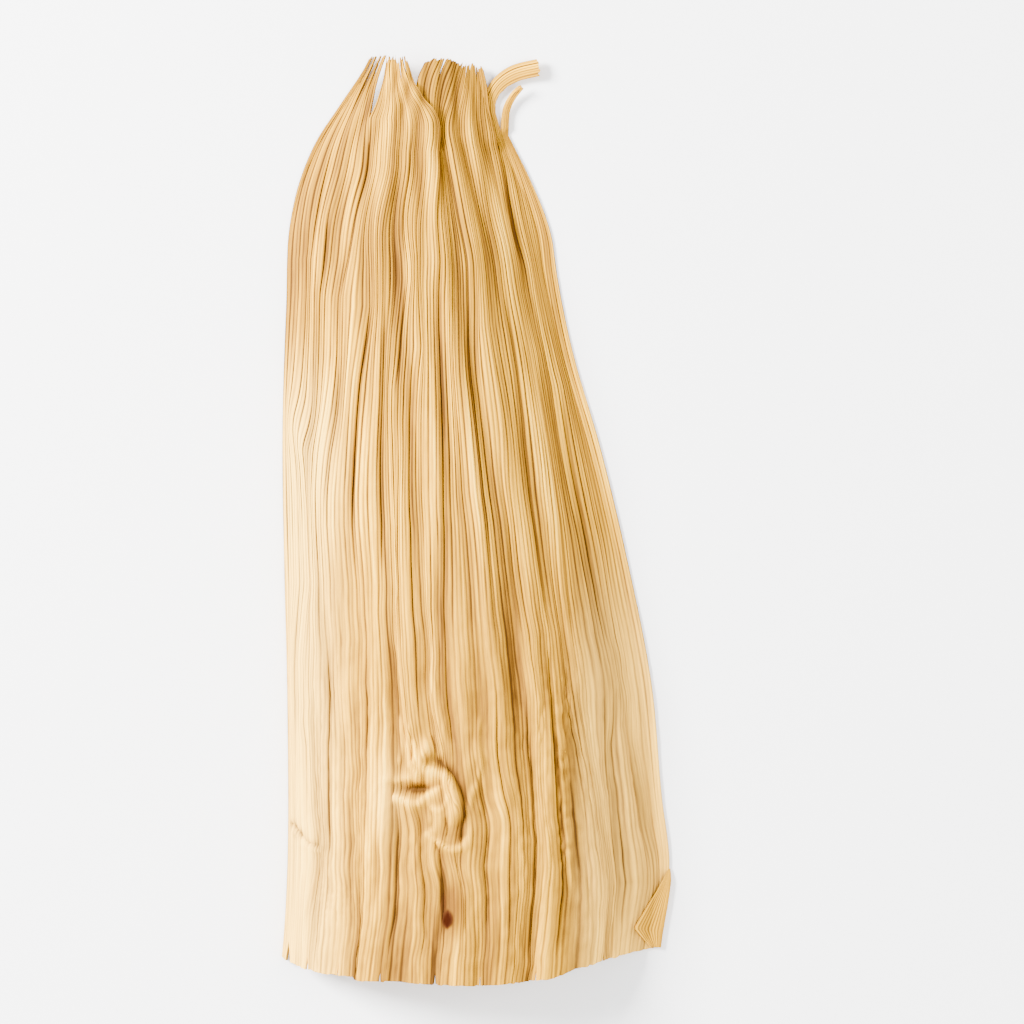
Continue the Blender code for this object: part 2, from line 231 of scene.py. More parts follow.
# Edges that stand proud and wander off the veins: rise, left bank, right bank, points.
crests = [
    (1.8, 1.9, 0.85, [
        (-14.1, 71), (-12.8, 66), (-14.1, 63.4), (-13, 60.6), (-8.3, 58.8), (-6.3, 56.7),
        (-4.9, 52.6), (-4.6, 49.2), (-4.8, 44)]),
    (-1.0, 1.3, 1.7, [
        (-10.8, 64), (-8.3, 61.5), (-5, 58.1), (-3, 53.3), (-2.4, 47.9), (-3.2, 43.1),
        (-2.6, 38)]),
    (1.5, 1.4, 0.55, [
        (-22.4, 53.2), (-20, 52), (-15.5, 51), (-12.4, 53.3), (-7.4, 56.2)]),
    (0.7, 0.45, 1.8, [(-24.5, 57.2), (-21.5, 57), (-18, 57.8), (-13.8, 57)]),
    (1.0, 0.9, 0.5, [
        (-13, 43.4), (-11.8, 41.7), (-9.7, 40.2), (-6.3, 38.3), (-2.9, 39), (-1, 42.5)]),
    (0.6, 0.6, 0.5, [(-12.6, 50.6), (-9.6, 49), (-7.6, 50.6), (-6.4, 54)]),
    (0.8, 0.6, 0.5, [(-17, 69), (-15.4, 65), (-16.4, 61), (-14.6, 57.6)]),
    (-0.5, 0.5, 0.5, [(-11.6, 70), (-10.6, 66), (-11, 62)]),
    (-0.6, 0.7, 0.6, [(-12.4, 51), (-11, 47), (-11.6, 43.5)]),
    (-0.5, 0.6, 0.6, [(-7.6, 47.6), (-6.8, 44), (-7.4, 41)]),
    (0.5, 0.5, 0.5, [(0, 57), (-0.8, 50), (-0.4, 44), (-2, 37)]),
    (-0.7, 0.6, 0.7, [(-12.4, 43), (-9.4, 37.6), (-8.6, 30), (-8.3, 22)]),
    (0.6, 0.5, 0.5, [(-20.4, 76), (-19.6, 68), (-20.6, 61)]),
    (0.6, 0.5, 0.5, [(-17.4, 74), (-17.8, 66), (-16.8, 60)]),
    (0.5, 0.5, 0.6, [(2.2, 76), (1.2, 68), (1.8, 60), (-0.4, 52)]),
    (0.7, 0.5, 0.6, [
        (23, 84), (23.9, 69), (24.4, 55), (26.4, 43), (26.8, 32), (28.6, 22)]),
    (-0.9, 0.8, 0.9, [(-52, 44.6), (-49.3, 42.6), (-46.2, 39.2), (-43, 38.1)]),
    (0.6, 0.6, 1.2, [(-51, 42.4), (-48.4, 40.4), (-45.6, 37.4), (-42, 36.6)]),
]
# Random fields that bend the sheet: amount, seed, cells across, cells along.
wholeFields = [(0.6, 3, 11, 5), (0.5, 4, 24, 9)]
lowerFields = [(0.75, 5, 30, 9), (0.2, 16, 56, 40), (0.14, 6, 100, 110)]
upperFields = [(0.3, 17, 36, 7)]
unevenFields = [(0.13, 8, 108, 8), (0.05, 9, 320, 14)]
pleats = {"count": 9, "rise": 0.45}
# A wrinkled band beside the deep fold, and fine cross crinkles at the lower left.
wrinkles = {"x": 25.2, "half": 2.0, "foot": (26, 36), "head": (78, 92), "rise": 0.5}
crinkles = {"x": -39, "y": 23, "half": 5, "long": 6, "rise": 0.14, "pitch": 2.6, "slant": 0.35}
# The place of the crumple, where the veins are fainter.
crumple = {"x": -11.5, "y": 53, "half": 10, "long": 15}
# Soft hollows and bumps: rise, x, y, half width, half length.
bumps = [
    (-2.0, -15.2, 54.9, 4.4, 1.6), (1.1, -9.4, 47.2, 3.6, 4.6), (0.8, -24.0, 58.5, 3.0, 5.5),
    (0.8, -24.5, 46.5, 2.6, 7.0), (-0.8, -14.2, 45.0, 2.0, 5.0), (-0.6, -49.5, 42.0, 2.5, 2.0),
    (0.7, 1.6, 64.0, 2.6, 4.5), (-0.7, -5.0, 70.0, 2.4, 7.0),
]
# Darker patches: amount, x, y, half width, half length. Some are stains on the straw; the one at
# (-40.8, 44) is painted shade along a crease, those at (-15.8, 54.5) and (-4, 63) are painted shade
# in the crumple's pocket and beside its ridge, and the paler one at (-22.5, 55) is a painted
# highlight on a bulge.
stainAndShadePatches = [
    (0.42, -48.6, 41.2, 1.6, 1.3), (0.18, -44.5, 37.5, 3.5, 1.0), (0.09, 44.2, 28.0, 2.0, 0.7),
    (0.16, -30.0, 252.0, 3.0, 12.0), (0.14, -8.0, 252.0, 7.0, 9.0),
    (0.10, 0.0, 75.0, 9.0, 12.0), (0.24, -40.8, 44.0, 1.1, 13.0),
    (0.34, -15.8, 54.5, 3.9, 1.5), (0.16, -4.0, 63.0, 1.8, 9.0),
    (-0.10, -22.5, 55.0, 2.5, 5.0), (0.12, -10.0, 51.5, 2.0, 1.5),
]
# Veins pushed aside: shift, x, y, half width, half length.
swirls = [
    (0.7, -13.0, 62.0, 5.0, 5.0), (1.6, -7.5, 48.0, 5.0, 6.0), (-1.4, -17.5, 50.0, 4.0, 6.0),
    (-0.9, -9.0, 36.0, 5.0, 5.0), (0.7, -45.0, 40.0, 4.0, 5.0),
]
perVein = len(leaf["veinSteps"])


def through(points):
    # a smooth curve through the points, read at any place between them
    place, value = np.array(points, float).T
    slope = np.gradient(value, place)

    def read(s):
        s = np.clip(s, place[0], place[-1])
        i = np.clip(np.searchsorted(place, s) - 1, 0, len(place) - 2)
        run = place[i + 1] - place[i]
        t = (s - place[i]) / run
        start = (2 * t**3 - 3 * t**2 + 1) * value[i] + (t**3 - 2 * t**2 + t) * run * slope[i]
        end = (3 * t**2 - 2 * t**3) * value[i + 1] + (t**3 - t**2) * run * slope[i + 1]
        return start + end

    return read


def ease(low, high, s):
    t = np.clip((s - low) / (high - low), 0.0, 1.0)
    return t * t * (3 - 2 * t)


def wander(seed, cellsAcross, cellsAlong):
    # a smooth random field over the unit square, between -1 and 1
    grid = np.random.default_rng(leaf["seed"] * 100 + seed).uniform(
        -1, 1, (cellsAcross + 3, cellsAlong + 3))

    def read(u, v):
        gu = np.clip(u, 0, 1) * cellsAcross
        gv = np.clip(v, 0, 1) * cellsAlong
        i, j = np.floor(gu).astype(int), np.floor(gv).astype(int)
        a, b = gu - i, gv - j
        a, b = a * a * (3 - 2 * a), b * b * (3 - 2 * b)
        low = grid[i, j] * (1 - a) + grid[i + 1, j] * a
        high = grid[i, j + 1] * (1 - a) + grid[i + 1, j + 1] * a
        return low * (1 - b) + high * b

    return read


def fieldSum(fields, u, v):
    return sum(amount * wander(seed, cellsAcross, cellsAlong)(u, v)
               for amount, seed, cellsAcross, cellsAlong in fields)


def blotSum(blots, x, y):
    # soft round patches: amount, x, y, half width, half length
    return sum(amount * np.exp(-((x - midX) / half) ** 2 - ((y - midY) / long) ** 2)
               for amount, midX, midY, half, long in blots)


leftMargin = through(leftMarginPoints)
rightMargin = through(rightMarginPoints)
baseEdge = through(baseEdgePoints)
archShare = through(archPoints)


def arch(x, y):
    left, right = leftMargin(y), rightMargin(y)
    crest = np.minimum(leaf["crestX"], 0.5 * (left + right))
    off = np.where(x < crest, (crest - x) / (crest - left), (x - crest) / (right - crest))
    off = np.clip(off, 0.0, 1.0)
    power, steepness = leaf["leftFall"]
    steepness = steepness + (leaf["leftFallTip"] - steepness) * ease(205, 250, y)
    leftSide = (1 - off ** power) ** steepness
    rightSide = (1 - off ** leaf["rightFall"][0]) ** leaf["rightFall"][1]
    rise = np.where(x < crest, leftSide, rightSide)
    return np.maximum(0.0, leaf["archHeight"] * archShare(y) * rise - leaf["footDrop"])


def bankDistance(x, y, points, reach):
    # signed distance to a smooth line through the points, and how far along it
    points = np.array(points, float)
    steps = np.arange(len(points))
    fine = np.linspace(0, len(points) - 1, 6 * (len(points) - 1) + 1)
    line = np.stack([through(list(zip(steps, points[:, k])))(fine) for k in (0, 1)], 1)
    low, high = line.min(0) - reach, line.max(0) + reach
    near = (x > low[0]) & (x < high[0]) & (y > low[1]) & (y < high[1])
    signed, along = np.full(x.shape, 1e9), np.zeros(x.shape)
    px, py = x[near], y[near]
    best, signNear, alongNear = signed[near], signed[near], along[near]
    for k in range(len(line) - 1):
        (ax, ay), (bx, by) = line[k], line[k + 1]
        dx, dy = bx - ax, by - ay
        t = np.clip(((px - ax) * dx + (py - ay) * dy) / (dx * dx + dy * dy), 0, 1)
        gap = np.hypot(px - ax - t * dx, py - ay - t * dy)
        closer = gap < best
        side = np.sign((px - ax) * dy - (py - ay) * dx)
        best = np.where(closer, gap, best)
        signNear = np.where(closer, gap * side, signNear)
        alongNear = np.where(closer, (k + t) / (len(line) - 1), alongNear)
    signed[near], along[near] = signNear, alongNear
    return signed, along


def crestHeight(x, y):
    height = np.zeros(x.shape)
    for rise, leftBank, rightBank, points in crests:
        signed, along = bankDistance(x, y, points, 4 * max(leftBank, rightBank))
        # a line drawn down the leaf has its right bank on the right of the leaf
        bank = np.where(signed > 0, leftBank, rightBank)
        fade = ease(0, 0.14, along) * ease(0, 0.14, 1 - along)
        height += rise * fade * np.exp(-(np.abs(signed) / bank) ** 1.15)
    return height


def foldRelief(x, y, foldSlots):
    # height of the folds, and their painted shade: a dark line down each hollow, painted shadow on
    # the right bank and painted highlight on the left; each runs along its own vein
    height = np.zeros(x.shape)
    dark = np.zeros(x.shape)
    low = 1 - ease(85, 135, y)
    wall, hollowWidth = (top + more * low for top, more in (foldShape["wall"], foldShape["hollow"]))
    for (vein, depth, step, leftBank, rightBank, points), slot in zip(folds, foldSlots):
        ys = [p[1] for p in points]
        foot, head = min(ys), max(ys)
        off = x - x[:, slot:slot + 1]
        soft = min(foldShape["longestFade"], 0.45 * (head - foot))
        fade = ease(foot - 2, foot + soft, y) * (1 - ease(head - soft, head + 2, y))
        near = np.abs(off)
        bank = np.where(off < 0, leftBank, rightBank)
        side = -np.tanh(off / wall)
        height += fade * step * 0.5 * side * np.exp(-near / (bank * 1.3))
        hollow = np.exp(-(near / (hollowWidth * bank)) ** 1.3)
        height -= fade * depth * (1 - 0.15 * low) * hollow
        line = np.exp(-(near / foldShape["line"]) ** 1.4)
        shadow = np.where(off > 0, np.exp(-near / (0.8 * rightBank)), 0)
        light = np.where(off < 0, np.exp(-near / leftBank), 0)
        dark += fade * min(1.0, 0.4 + 0.6 * depth) * line
        dark += fade * step * (foldShape["shadow"] * shadow - foldShape["light"] * light)
    return height, dark


def averaged(grid, reach):
    # a running average down the grid, taken twice
    span = 2 * reach + 1
    for _ in range(2):
        total = np.cumsum(np.pad(grid, [(reach + 1, reach), (0, 0)], mode="edge"), axis=0)
        grid = (total[span:] - total[:-span]) / span
    return grid


def softened(grid, rowReach, columnReach):
    return averaged(averaged(grid, rowReach).T, columnReach).T


def veinColumns():
    # shares of the leaf's width at each column, with veins of uneven width
    draw = np.random.default_rng(leaf["seed"])
    widths = 1 + leaf["widthSpread"] * draw.uniform(-1, 1, leaf["veins"])
    starts = np.concatenate([[0], np.cumsum(widths)]) / widths.sum()
    shares, phases = [], []
    for vein in range(leaf["veins"]):
        for step in leaf["veinSteps"]:
            shares.append(starts[vein] + step * (starts[vein + 1] - starts[vein]))
            phases.append(vein + step)
    return np.array(shares + [1.0]), np.array(phases + [float(leaf["veins"])])


def veinTable(shares):
    # place across of every column at each half millimetre of height
    heights = np.linspace(0, leaf["length"], round(2 * leaf["length"]) + 1)
    places = np.empty((len(heights), len(shares)))
    for i, y in enumerate(heights):
        x = np.linspace(leftMargin(y), rightMargin(y), 240)
        steps = np.hypot(np.diff(x), np.diff(arch(x, np.full_like(x, y))))
        walked = np.concatenate([[0.0], np.cumsum(steps)])
        places[i] = np.interp(shares * walked[-1], walked, x)
    # lead the nearest vein along each fold, and its neighbours with it
    led = []
    pull = np.zeros_like(places)
    weight = np.full_like(places, 0.06)
    for vein, *_, points in folds:
        ys = [p[1] for p in points]
        foot, head = min(ys), max(ys)
        line = through(sorted((py, px) for px, py in points))(heights)
        inside = (heights >= foot) & (heights <= head)
        column = vein * perVein
        led.append(column)
        offset = line - places[:, column]
        offset = np.where(heights < foot, offset[inside][0], offset)
        offset = np.where(heights > head, offset[inside][-1], offset)
        fade = leaf["leadFade"]
        on = ease(foot - fade, foot + 4, heights) * (1 - ease(head - 4, head + fade, heights))
        near = np.exp(-((shares - shares[column]) / leaf["leadReach"]) ** 2)
        pull += on[:, None] * near[None, :] * offset[:, None]
        weight += on[:, None] * near[None, :]
    fadeTip = 1 - ease(shoulder[0] + 8, shoulder[1] + 4, heights)
    shift = pull / weight * np.maximum(fadeTip, 0.0)[:, None]
    margin = ease(0, 0.05, shares) * ease(0, 0.05, 1 - shares)
    places = places + shift * margin[None, :]
    # keep neighbours from crowding or crossing
    gaps = np.diff(places, axis=1)
    gaps = np.maximum(gaps, leaf["leastGap"] * gaps.mean(axis=1, keepdims=True))
    gaps *= (places[:, -1:] - places[:, :1]) / gaps.sum(axis=1, keepdims=True)
    places[:, 1:] = places[:, :1] + np.cumsum(gaps, axis=1)
    return heights, places, led


def rowHeights():
    rows = [0.0]
    for stop, steps in rowStops:
        rows += list(np.linspace(rows[-1], stop, steps + 1)[1:])
    return np.array(rows)


print("leaf: laying out the veins")
shares, phases = veinColumns()
tableHeights, tablePlaces, foldColumns = veinTable(shares)
print("leaf: closest columns", round(float(np.diff(tablePlaces, axis=1).min()), 3), "mm")
rows = rowHeights()

# A column that a tear follows is there twice, once for each side of the tear.
tearColumns = {tear["vein"] * perVein: tear for tear in tears}
splitColumns = {vein * perVein: ("tip", rowsLong, part) for vein, rowsLong, part in tipSplits}
splitColumns.update({vein * perVein: ("base", rowsLong, part)
                     for vein, rowsLong, part in baseSplits})
slotColumn, slotSide = [], []
for column in range(len(shares)):
    cut = (column in tearColumns and tearColumns[column]["root"] < leaf["length"]
           or column in splitColumns)
    for side in ((-1, 1) if cut else (0,)):
        slotColumn.append(column)
        slotSide.append(side)
slotColumn, slotSide = np.array(slotColumn), np.array(slotSide)
slotCount, rowCount = len(slotColumn), len(rows)

fingerBounds = [0] + [tear["vein"] * perVein for tear in tears] + [len(shares) - 1]
slotFinger = np.zeros(slotCount, int)
for k, (column, side) in enumerate(zip(slotColumn, slotSide)):
    finger = sum(column > bound for bound in fingerBounds[1:-1])
    if column in tearColumns and side > 0:
        finger = fingerBounds.index(column)
    slotFinger[k] = finger


ragged = {"pairTooth": 1.6, "tooth": 0.9, "notch": 0.25, "fray": 0.7,
          "cutTooth": 0.3, "cutFray": 0.2}


def raggedEnds():
    # how far each vein stops short at the torn tip, and stands off the line of the cut
    veinOf = np.minimum(slotColumn // perVein, leaf["veins"] - 1)
    draw = np.random.default_rng(leaf["seed"] + 5)
    teeth = draw.uniform(0, 1, leaf["veins"]) ** 2
    fray = draw.uniform(0, 1, len(shares))[slotColumn]
    notch = np.abs(2 * (phases[slotColumn] - veinOf) - 1)
    tip = ragged["pairTooth"] * teeth[veinOf // 2 * 2] + ragged["tooth"] * teeth[veinOf]
    tip += ragged["notch"] * notch + ragged["fray"] * fray
    return tip, ragged["cutTooth"] * (teeth[veinOf] - 0.4) + ragged["cutFray"] * fray


tipShort, baseStep = raggedEnds()
baseX = tablePlaces[10][slotColumn]
for step, start, full, back, gone in baseEdgeSteps:
    baseStep = baseStep + step * ease(start, full, baseX) * (1 - ease(back, gone, baseX))


def layOut():
    share = shares[slotColumn][None, :]
    lift = np.zeros((rowCount, slotCount))
    y = np.repeat(rows[:, None], slotCount, 1)
    y = y + (baseEdge(baseX) + baseStep)[None, :] * np.maximum(0, 1 - y / leaf["baseFade"]) ** 3
    ends = np.array(fingerEnd + [leaf["length"]] * 2)[slotFinger] - tipShort
    short = leaf["length"] - ends
    short[slotFinger > 3] = 0
    y = y - short[None, :] * ease(*leaf["tipFade"], rows)[:, None] ** 1.5
    x = np.empty_like(y)
    for k in range(slotCount):
        x[:, k] = np.interp(y[:, k], tableHeights, tablePlaces[:, slotColumn[k]])
    for finger in range(len(fingerBounds) - 1):
        mine = slotFinger == finger
        ym = y[:, mine]
        low = edgeLine(finger - 1, ym, "right")
        high = edgeLine(finger, ym, "left")
        s0, s1 = shares[fingerBounds[finger]], shares[fingerBounds[finger + 1]]
        across = (share[:, mine] - s0) / (s1 - s0)
        own = low + across * (high - low)
        x[:, mine] += (own - x[:, mine]) * ease(*shoulder, ym)
        leftLift, rightLift = fingerLift[finger]
        if finger > 0:
            root = tears[finger - 1]["root"]
            lift[:, mine] += (1 - across) * leftLift * ease(0, 5, ym - root)
        if finger < len(tears):
            lift[:, mine] += across * rightLift * ease(0, 5, ym - tears[finger]["root"])
    # the pushed-aside veins and a slight sway of every vein, less of it higher up
    fade = ease(0, 8, x - leftMargin(y)) * ease(0, 8, rightMargin(y) - x)
    fade = fade * (1 - ease(*leaf["swayEnds"], y))
    u, v = share + 0 * y, y / leaf["length"]
    shift = leaf["slowSway"] * wander(1, 9, 16)(u, v) * (1 - 0.88 * ease(80, 130, y))
    shift += leaf["quickSway"] * wander(2, 26, 40)(u, v) * (1 - 0.8 * ease(80, 120, y))
    x = x + (shift + blotSum(swirls, x, y)) * fade
    # small splits part their two sides and lift one of them
    for k in np.nonzero(slotSide)[0]:
        column, side = slotColumn[k], slotSide[k]
        if column not in splitColumns:
            continue
        where, length, part = splitColumns[column]
        fromEnd = np.arange(rowCount)
        if where == "tip":
            fromEnd = fromEnd[::-1]
        opened = np.clip((length - fromEnd) / length, 0, 1)
        span = np.arange(slotCount)
        reach = np.where(side > 0, span - k, k - span)
        weight = np.where((reach >= 0) & (slotFinger == slotFinger[k]),
                          np.exp(-reach / leaf["splitReach"]), 0.0)
        apart = part * opened[:, None] * weight[None, :]
        x += 0.5 * side * apart
        if side > 0:
            lift += 0.7 * apart
    return x, y, lift


def edgeLine(index, y, side):
    if index < 0:
        return leftMargin(y)
    if index == len(tears):
        return rightMargin(y)
    tear = tears[index]
    below = through(tear["line"])(y)
    if not tear[side]:
        return below
    return np.where(y <= tear["root"] + 1e-6, below, through(tear[side])(y))


print("leaf: bending it into its arch")
placeX, placeY, lift = layOut()


def broadRelief(x, y, u):
    inside = ease(0, 11, x - leftMargin(y)) * ease(0, 13, rightMargin(y) - x)
    v = y / leaf["length"]
    across = (x - leftMargin(y)) / (rightMargin(y) - leftMargin(y))
    height = fieldSum(wholeFields, u, v)
    height += pleats["rise"] * np.sin(2 * np.pi * pleats["count"] * across)
    height *= 1 - 0.55 * ease(225, 255, y)
    low = 1 - ease(75, 120, y)
    height += low * fieldSum(lowerFields, u, v) + (1 - low) * fieldSum(upperFields, u, v)
    band = np.exp(-((x - wrinkles["x"]) / wrinkles["half"]) ** 2)
    band = band * ease(*wrinkles["foot"], y) * (1 - ease(*wrinkles["head"], y))
    height += wrinkles["rise"] * band * wander(11, 150, 150)(u, v)
    patch = [(crinkles["rise"], crinkles["x"], crinkles["y"], crinkles["half"], crinkles["long"])]
    ripple = np.sin(2 * np.pi * (y + crinkles["slant"] * x) / crinkles["pitch"])
    height += blotSum(patch, x, y) * ripple + blotSum(bumps, x, y)
    return height * inside


def liftAlongNormal(x, y, height):
    e = 0.4
    sx = (arch(x + e, y) - arch(x - e, y)) / (2 * e)
    sy = (arch(x, y + e) - arch(x, y - e)) / (2 * e)
    sx = np.clip(sx, -1.6, 1.6)
    size = np.sqrt(sx * sx + sy * sy + 1)
    return x - height * sx / size, y - height * sy / size, arch(x, y) + height / size


shareGrid = np.repeat(shares[slotColumn][None, :], rowCount, 0)
phaseGrid = np.repeat(phases[slotColumn][None, :], rowCount, 0)
v = placeY / leaf["length"]
inside = ease(0, 5, placeX - leftMargin(placeY)) * ease(0, 5, rightMargin(placeY) - placeX)
foldSlots = [int(np.nonzero(slotColumn == column)[0][0]) for column in foldColumns]
foldHeight, foldPaintedShade = foldRelief(placeX, placeY, foldSlots)
crest = crestHeight(placeX, placeY)
relief = broadRelief(placeX, placeY, shareGrid) + foldHeight * (0.2 + 0.8 * inside) + crest
x, y, z = liftAlongNormal(placeX, placeY, relief)
z = np.maximum(z + lift, 0.0)


def strip(points, finger):
    # lays a finger's columns along its own line from the root row up
    rowsUp = rows >= stripRoot - 1e-6
    t = (rows[rowsUp] - stripRoot) / (leaf["length"] - stripRoot)
    along = np.linspace(0, 1, len(points))
    line = [through(list(zip(along, column)))(t) for column in zip(*points)]
    ahead = [np.gradient(part, t) for part in line[:2]]
    size = np.hypot(*ahead)
    sideX, sideY = ahead[1] / size, -ahead[0] / size
    first = ease(0, 0.2, t)
    sideX, sideY = sideX * first + (1 - first), sideY * first
    mine = slotFinger == finger
    s0, s1 = shares[fingerBounds[finger]], shares[fingerBounds[finger + 1]]
    across = (shares[slotColumn[mine]] - s0) / (s1 - s0) - 0.5
    for k, off in zip(np.nonzero(mine)[0], across):
        rag = tipShort[k] * 0.4
        wide = line[2] * off
        newX = line[0] + wide * sideX - rag * t ** 4 * ahead[0] / size
        newY = line[1] + wide * sideY - rag * t ** 4 * ahead[1] / size
        newZ = line[3] + 0.25 * np.cos(np.pi * off)
        for grid, new in ((x, newX), (y, newY), (z, newZ)):
            grid[rowsUp, k] += (new - grid[rowsUp, k]) * ease(0, 0.12, t)


strip(curledStrip, 4)
strip(bentStrip, 5)

# Number the vertices: both sides of a cut share one where the cut is closed.
number = -np.ones((rowCount, slotCount), int)
count = 0
for k in range(slotCount):
    column, side = slotColumn[k], slotSide[k]
    closed = np.zeros(rowCount, bool)
    if side > 0:
        if column in tearColumns:
            closed = rows <= tearColumns[column]["root"] + 1e-6
        else:
            where, length, part = splitColumns[column]
            at = np.arange(rowCount)
            closed = at <= rowCount - 1 - length if where == "tip" else at >= length
    number[closed, k] = number[closed, k - 1]
    number[~closed, k] = count + np.arange((~closed).sum())
    count += int((~closed).sum())


def onVertices(grid):
    # the value at each vertex of a field worked out on the grid
    value = np.zeros(count)
    value[number.ravel()] = grid.ravel()
    return value


def sheetQuads(rowList, slots):
    # a cut has its two sides next to each other, with no face between them
    sides = [(a, b) for a, b in zip(slots, slots[1:]) if slotColumn[a] != slotColumn[b]]
    left, right = np.array(sides).T
    return np.concatenate([
        np.stack([number[a, left], number[a, right], number[b, right], number[b, left]], 1)
        for a, b in zip(rowList, rowList[1:])])


base = np.stack([onVertices(x), onVertices(y), onVertices(z)], 1)
veinUv = np.stack([onVertices(phaseGrid) / leaf["veins"], onVertices(v)], 1)
fineRows = list(range(rowCount))
# the inner sheet is coarser, but not under the crumple, where it would poke through
evenUpTo = sum(steps for _, steps in rowStops[:2])
coarseRows = fineRows[:evenUpTo] + fineRows[evenUpTo::5]
coarseSlots = [k for k in range(slotCount) if slotColumn[k] % perVein == 0]
outerQuads = sheetQuads(fineRows, range(slotCount))
innerQuads = sheetQuads(coarseRows, coarseSlots)

# The veins stand up from the outer side; the groove between two of them is deep or faint.
nearest = np.round(phaseGrid)
fromGroove = np.abs(phaseGrid - nearest)
deep, faint = leaf["veinHeight"]
main = 0.5 + 0.5 * np.cos(np.pi * nearest) + 0.55 * wander(7, 108, 6)(shareGrid, v)
main = np.clip(main, 0, 1)
grooveDepth = faint + (deep - faint) * main
valley = np.clip(1 - (2 * fromGroove) ** 1.1, 0, 1) ** 1.4
narrow = np.clip((rightMargin(placeY) - leftMargin(placeY)) / 85.0, 0.5, 1.15)
lower = 1 - ease(85, 135, placeY)
crumpled = np.exp(-((placeX - crumple["x"]) / crumple["half"]) ** 4
                  - ((placeY - crumple["y"]) / crumple["long"]) ** 4)
strength = (0.85 + 0.3 * wander(12, 54, 9)(shareGrid, v)) * (1 - 0.45 * lower) * narrow
strength *= 1 - 0.35 * crumpled
uneven = fieldSum(unevenFields, shareGrid, v)
crinkle = 0.06 * wander(10, 120, 90)(shareGrid, v) * (1 - ease(70, 130, placeY))
outerLift = leaf["thickness"] + 0.2 - grooveDepth * valley * strength
outerLift = np.maximum(outerLift + (uneven + crinkle) * narrow, 0.12)
liftAt = onVertices(outerLift)

# How dark the straw is, its own tone together with painted shade and highlight: 0 on a pale ridge,
# 1 at the bottom of a deep fold.
shade = {
    "plain": 0.395, "lower": 0.12, "tip": 0.03, "upperLeft": 0.045, "paleAndLitLeft": -0.27,
    "paintedLightRight": -0.19, "paintedLightRightFold": -0.18, "groove": 0.12, "uneven": -0.6,
    "fold": 0.60, "shadeAtCrestFoot": 0.42, "highlightOnCrestTop": -0.15, "shadeInWideHollow": 0.30,
    "shadeInNearHollow": 0.20, "besideCorner": 0.34, "flap": 0.17, "flapGrooveShade": 0.42,
    "patches": [(0.10, 13, 9, 4), (0.17, 14, 40, 5), (0.09, 15, 108, 5)],
}
# The left side is paler: partly the straw's own paleness and partly painted light where it faces
# the key. The patch beside the crumple is a painted highlight on a facet.
paleAndLitLeft = (1 - ease(-50, -30, placeX)) * (1 - ease(0.55, 0.72, v))
paleAndLitLeft = np.maximum(paleAndLitLeft, blotSum([(0.4, -24, 52, 4, 13)], placeX, placeY))
# painted light on the lower right, lifting the shade that the key from the left leaves there
paintedLightRight = ease(24, 34, placeX) * lower
tone = shade["plain"] + shade["lower"] * lower + fieldSum(shade["patches"], shareGrid, v)
# painted shade in the grooves between the veins
tone += shade["groove"] * (valley - 0.35) * (0.45 + 0.75 * main)
# painted shade along the folds, painted shadow on their right banks and painted highlight on their
# left banks
tone += shade["fold"] * foldPaintedShade * (1 - 0.42 * lower) + shade["uneven"] * uneven
# painted shade along the sunken crest lines and painted highlight along the raised crests
tone += shade["shadeAtCrestFoot"] * np.clip(-crest, 0, 1.2) + shade["highlightOnCrestTop"] * np.clip(crest, 0, 1.3)
tone += shade["tip"] * ease(0.78, 0.95, v) + shade["paleAndLitLeft"] * paleAndLitLeft
tone += shade["upperLeft"] * (1 - ease(-36, -20, placeX)) * ease(0.64, 0.78, v)
# painted shade where the relief sinks below its softened surroundings, and painted highlight where
# it rises above them
hollow = shade["shadeInWideHollow"] * np.clip(softened(relief, 4, 12) - relief, -0.5, 1.3)
hollow += shade["shadeInNearHollow"] * np.clip(softened(relief, 2, 5) - relief, -0.4, 1.0)
tone += hollow * (1 - 0.3 * lower) * (1 - 0.5 * paintedLightRight)
# on the lower right the straw is painted paler, and its folds get less painted shade
tone += (shade["paintedLightRight"] + shade["paintedLightRightFold"] * np.clip(foldPaintedShade, 0, 1.2)) * paintedLightRight
# painted shadow on the leaf along the free edge of the folded corner
cornerEdge = [(55.0, 31.0), (51.5, 25.0), (48.4, 19.0), (45.6, 14.0)]
besideCorner, alongCorner = bankDistance(placeX, placeY, cornerEdge, 6.0)
cornerShadow = np.exp(-np.abs(besideCorner) / 1.1) * ease(0, 0.1, alongCorner)
tone += blotSum(stainAndShadePatches, placeX, placeY) + shade["besideCorner"] * cornerShadow
toneAt = onVertices(tone)
clearLeft = 1 + 0.5 * paleAndLitLeft * ease(0.1, 0.3, v)
clearAt = onVertices((1 - 0.6 * lower) * (1 - 0.25 * crumpled) * clearLeft)
# a pale tint: partly bleached straw on the left, partly painted light on the left side and the
# lower right
bleachAndLightAt = onVertices(paleAndLitLeft + 0.6 * paintedLightRight)

